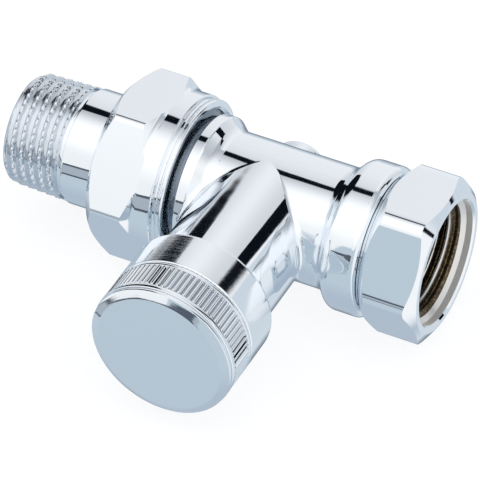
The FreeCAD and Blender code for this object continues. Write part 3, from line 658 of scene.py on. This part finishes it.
# Stage: a pale floor that takes a faint shadow, cards in front of the part, a light tent with black
# gaps between its panels, and the camera. The camera sees white behind the part, and the chrome mirrors
# the tent.
FLOOR_Z = -17.4
FLOOR_REACH = 3000
FLOOR_GREY = (0.3, 0.3, 0.3, 1.0)
FLOOR_GLOW = 0.78
WHITE = (1.0, 1.0, 1.0, 1.0)
TOP_PANEL = (1.2, 1.2, 1.21, 1.0)
TOP_EDGE = (0.47, 0.5, 0.54, 1.0)
FRONT_PANEL = (1.0, 1.01, 1.02, 1.0)
BACK_PANEL = (0.97, 0.98, 1.0, 1.0)
BACK_EDGE = (0.74, 0.76, 0.79, 1.0)
LOW_FRONT = (0.57, 0.667, 0.738, 1.0)
LOW_BACK = (0.69, 0.76, 0.82, 1.0)
RIGHT_PANEL = (1.05, 1.05, 1.06, 1.0)
UNDERSIDE = (0.49, 0.57, 0.66, 1.0)
BEHIND = (0.22, 0.27, 0.33, 1.0)
BLACK = (0.004, 0.006, 0.01, 1.0)


def flat_card(name, corners):
    """A flat stage panel with the given corners in millimetres."""
    mesh = bpy.data.meshes.new(name)
    mesh.from_pydata([(x * MM, y * MM, z * MM) for x, y, z in corners], [], [tuple(range(len(corners)))])
    card = bpy.data.objects.new(name, mesh)
    bpy.context.collection.objects.link(card)
    return card


def empty_tree(owner):
    """A Shade on the cleared nodes of a material or a world."""
    owner.use_nodes = True
    owner.node_tree.nodes.clear()
    return Shade(owner.node_tree)


def end_in(shade, kind, value):
    """Adds the output node and links the value to it."""
    feed(shade.tree.nodes.new(kind), "Surface", value)


floor = flat_card("floor", [(x * FLOOR_REACH, y * FLOOR_REACH, FLOOR_Z)
                            for x, y in ((-1, -1), (1, -1), (1, 1), (-1, 1))])
pale_floor = bpy.data.materials.new("pale_floor")
shade = empty_tree(pale_floor)
matt = shade.node("ShaderNodeBsdfDiffuse", None, {"Color": FLOOR_GREY})
floor_glow = shade.node("ShaderNodeEmission", None, {"Color": WHITE, "Strength": FLOOR_GLOW})
lit = shade.node("ShaderNodeAddShader", None, {0: matt, 1: floor_glow})
clear = shade.node("ShaderNodeBsdfTransparent")
mirrored = shade.node("ShaderNodeLightPath", out="Is Glossy Ray")
end_in(shade, "ShaderNodeOutputMaterial",
       shade.node("ShaderNodeMixShader", None, {0: mirrored, 1: lit, 2: clear}))
floor.data.materials.append(pale_floor)

# The cards stand upright in front of the part, and their corners are x and z in millimetres. Hems and the
# table's edge follow the foot of the front card: each has the heights of its top and its foot from there.
CARD_Y = -100.0
CARD_LEFT = -600
CARD_RIGHT = -43.5
CARD_TOP = 260
CARD_FADE = (30, 110)
CARD_FOOT = [(CARD_LEFT, -302), (-98, 4.6), (-79, 16), (CARD_RIGHT, 22)]
HEM_LINE = CARD_FOOT + [(-12, 25)]
GAP = [(-40, 8), (-17, 8), (-17, 24), (-40, 24)]
GAP_Y = CARD_Y + 1
HEM = (0.1, 0.12, 0.15, 1)
BAND = (0.44, 0.5, 0.56, 1)
EDGES = [("upper_hem", 0, -6, HEM), ("table_edge", -6, -33, BAND), ("lower_hem", -33, -39, HEM)]


def mirror_card(name, depth, corners, low_colour, high_colour):
    """A card that glows in reflections alone, from one colour at its foot to another further up."""
    card = flat_card(name, [(x, depth, z) for x, z in corners])
    glowing = bpy.data.materials.new(name)
    shade = empty_tree(glowing)
    z = shade.node("ShaderNodeTexCoord", out="Object").split()[2]
    colour = z.rise(CARD_FADE[0] * MM, CARD_FADE[1] * MM).mixed(low_colour, high_colour)
    end_in(shade, "ShaderNodeOutputMaterial", shade.node("ShaderNodeEmission", None, {"Color": colour}))
    card.data.materials.append(glowing)
    card.visible_camera = False
    card.visible_diffuse = False
    card.visible_shadow = False
    card.visible_transmission = False


mirror_card("front_card", CARD_Y, CARD_FOOT + [(CARD_RIGHT, CARD_TOP), (CARD_LEFT, CARD_TOP)],
            FRONT_PANEL, TOP_PANEL)
for name, top_z, foot_z, colour in EDGES:
    edge = [(x, z + top_z) for x, z in HEM_LINE] + [(x, z + foot_z) for x, z in HEM_LINE[::-1]]
    mirror_card(name, CARD_Y, edge, colour, colour)
mirror_card("front_gap", GAP_Y, GAP, HEM, HEM)

# The tent is drawn by direction. Behind the part it is a wall one unit away: side runs along it and roof up
# it. A line there is a slope and an offset, and a pair is where a soft edge starts and ends.
WALL_START = (0.02, 0.03)
LEAST_AHEAD = 0.02
LEAST_SLANT = 0.05
STEEP_EDGE = (0.755, -1.334)
FLAT_EDGE = (0.32, -1.17)
UPRIGHT_EDGE = (-0.15, -0.69)
UPRIGHT_FOOT = 1.4
LEFT_SOFT = (0.0, 0.03)
WING_FOOT = (-0.78, -1.459)
WING_FOOT_SOFT = (-0.05, 0.05)
WING_TOP = (-0.7, 1.99)
WING_TOP_SOFT = (0.0, 0.15)
WING_END = (-5.0, -3.0)
STRIP_EDGE = (-0.17, -0.694)
STRIP_SOFT = (0.0, 0.06)
STRIP_FOOT = (1.4, 1.6)
PANEL_RIGHT = (0.63, 0.65)
PANEL_TOP = (2.1, 2.4)
PANEL_MIDDLE = -0.18
PANEL_FADE = (0.0, 0.8)
RIGHT_GAP_END = (0.91, 0.94)
RIGHT_GAP_TOP = (1.3, 1.6)
SLIT = ((0.31, 0.33), (0.36, 0.38))
SLIT_START = 0.3
SLIT_HEIGHT = (0.03, 0.05)
TOP_FADE = (-0.47, 0.25)
FRONT_FADE = (0.36, 0.62)
UNDER_FADE = (0.55, 0.95)
LOW_BACK_FADE = (0.2, 0.55)
RIGHT_FADE = (0.45, 0.72)
RIGHT_BACK_FADE = (0.25, 0.5)
WAIST = (0.33, 0.37)
TABLE = (-0.14, -0.1)
BEHIND_CONE = (math.cos(math.radians(32)), math.cos(math.radians(10)))
AZIMUTH = math.radians(26.06)
ELEVATION = math.radians(40.97)


def on_line(line, along):
    """The slope times the place along, plus the offset."""
    slope, offset = line
    return slope * along + offset


world = bpy.data.worlds.new("light_tent")
bpy.context.scene.world = world
shade = empty_tree(world)
dx, dy, dz = shade.node("ShaderNodeTexCoord", out="Generated").split()
back = dy.rise(*WALL_START)
ahead = dy.at_least(LEAST_AHEAD)
side = dx / ahead
roof = dz / ahead
upright = on_line(UPRIGHT_EDGE, (roof - UPRIGHT_FOOT).at_least(0.0))
left_edge = shade.maths("MINIMUM", on_line(STEEP_EDGE, roof).at_least(on_line(FLAT_EDGE, roof)), upright)
left_black = (left_edge - side).rise(*LEFT_SOFT)
wing = (roof - on_line(WING_FOOT, side)).rise(*WING_FOOT_SOFT) * side.rise(*WING_END)
wing = wing * (on_line(WING_TOP, side) - roof).rise(*WING_TOP_SOFT)
strip = (side - on_line(STRIP_EDGE, roof)).rise(*STRIP_SOFT) * roof.rise(*STRIP_FOOT)
right_black = side.between(PANEL_RIGHT, RIGHT_GAP_END) * (1 - roof.rise(*RIGHT_GAP_TOP))
gaps = back * (left_black * wing.at_least(strip)).at_least(right_black)
panel = back * (1 - left_black) * (1 - side.rise(*PANEL_RIGHT)) * (1 - roof.rise(*PANEL_TOP))
panel_light = shade.maths("ABSOLUTE", side - PANEL_MIDDLE).rise(*PANEL_FADE).mixed(BACK_PANEL, BACK_EDGE)
slit = (dy / dx.at_least(LEAST_SLANT)).between(*SLIT) * (dx > SLIT_START)
slit = slit * (1 - shade.maths("ABSOLUTE", dz).rise(*SLIT_HEIGHT))
upper = (0 - dy / dz.at_least(LEAST_SLANT)).rise(*TOP_FADE).mixed(TOP_EDGE, TOP_PANEL)
upper = dz.rise(*FRONT_FADE).mixed(FRONT_PANEL, upper)
lower = (0 - dz).rise(*UNDER_FADE).mixed(LOW_FRONT, UNDERSIDE)
lower = dy.rise(*LOW_BACK_FADE).mixed(lower, LOW_BACK)
lower = (dx.rise(*RIGHT_FADE) * (1 - dy.rise(*RIGHT_BACK_FADE))).mixed(lower, RIGHT_PANEL)
tent = dz.rise(*WAIST).mixed(lower, upper)
tent = gaps.mixed(tent, BLACK)
tent = panel.mixed(tent, panel_light)
tent = (1 - dz.rise(*TABLE)).mixed(tent, (gaps * (dx < 0)).mixed(lower, BLACK))
tent = slit.mixed(tent, BLACK)
view = Vector((math.sin(AZIMUTH) * math.cos(ELEVATION), -math.cos(AZIMUTH) * math.cos(ELEVATION),
               math.sin(ELEVATION)))
away = 0 - (dx * view.x + dy * view.y + dz * view.z)
tent = away.rise(*BEHIND_CONE).mixed(tent, BEHIND)
backdrop = shade.node("ShaderNodeLightPath", out="Is Camera Ray")
backdrop = backdrop.at_least(shade.node("ShaderNodeLightPath", out="Is Transmission Ray"))
seen = backdrop.mixed(tent, WHITE)
end_in(shade, "ShaderNodeOutputWorld", shade.node("ShaderNodeBackground", None, {"Color": seen}))

# The camera looks along the fitted direction. It is turned so that the pivot on the pipe axis comes to its
# place in the photo, given in pixels right of and below the middle.
DISTANCE = 0.6958
FOCAL_PX = 4014.2
PHOTO_PX = 480.0
SENSOR = 36.0
PIVOT = Vector((-31.73 * MM, 0, 0))
PIVOT_PX = (28.4, -35.0)
right = (-view).cross(Vector((0, 0, 1))).normalized()
up = right.cross(-view)
per_px = DISTANCE / FOCAL_PX
aim = PIVOT - right * (PIVOT_PX[0] * per_px) + up * (PIVOT_PX[1] * per_px)
lens = bpy.data.cameras.new("camera")
lens.sensor_width = SENSOR
lens.lens = FOCAL_PX / PHOTO_PX * SENSOR
lens.clip_start = 0.01
camera = bpy.data.objects.new("camera", lens)
bpy.context.collection.objects.link(camera)
camera.location = PIVOT + view * DISTANCE
camera.rotation_euler = (aim - camera.location).to_track_quat("-Z", "Y").to_euler()
bpy.context.scene.camera = camera
bpy.context.scene.view_settings.view_transform = "Standard"
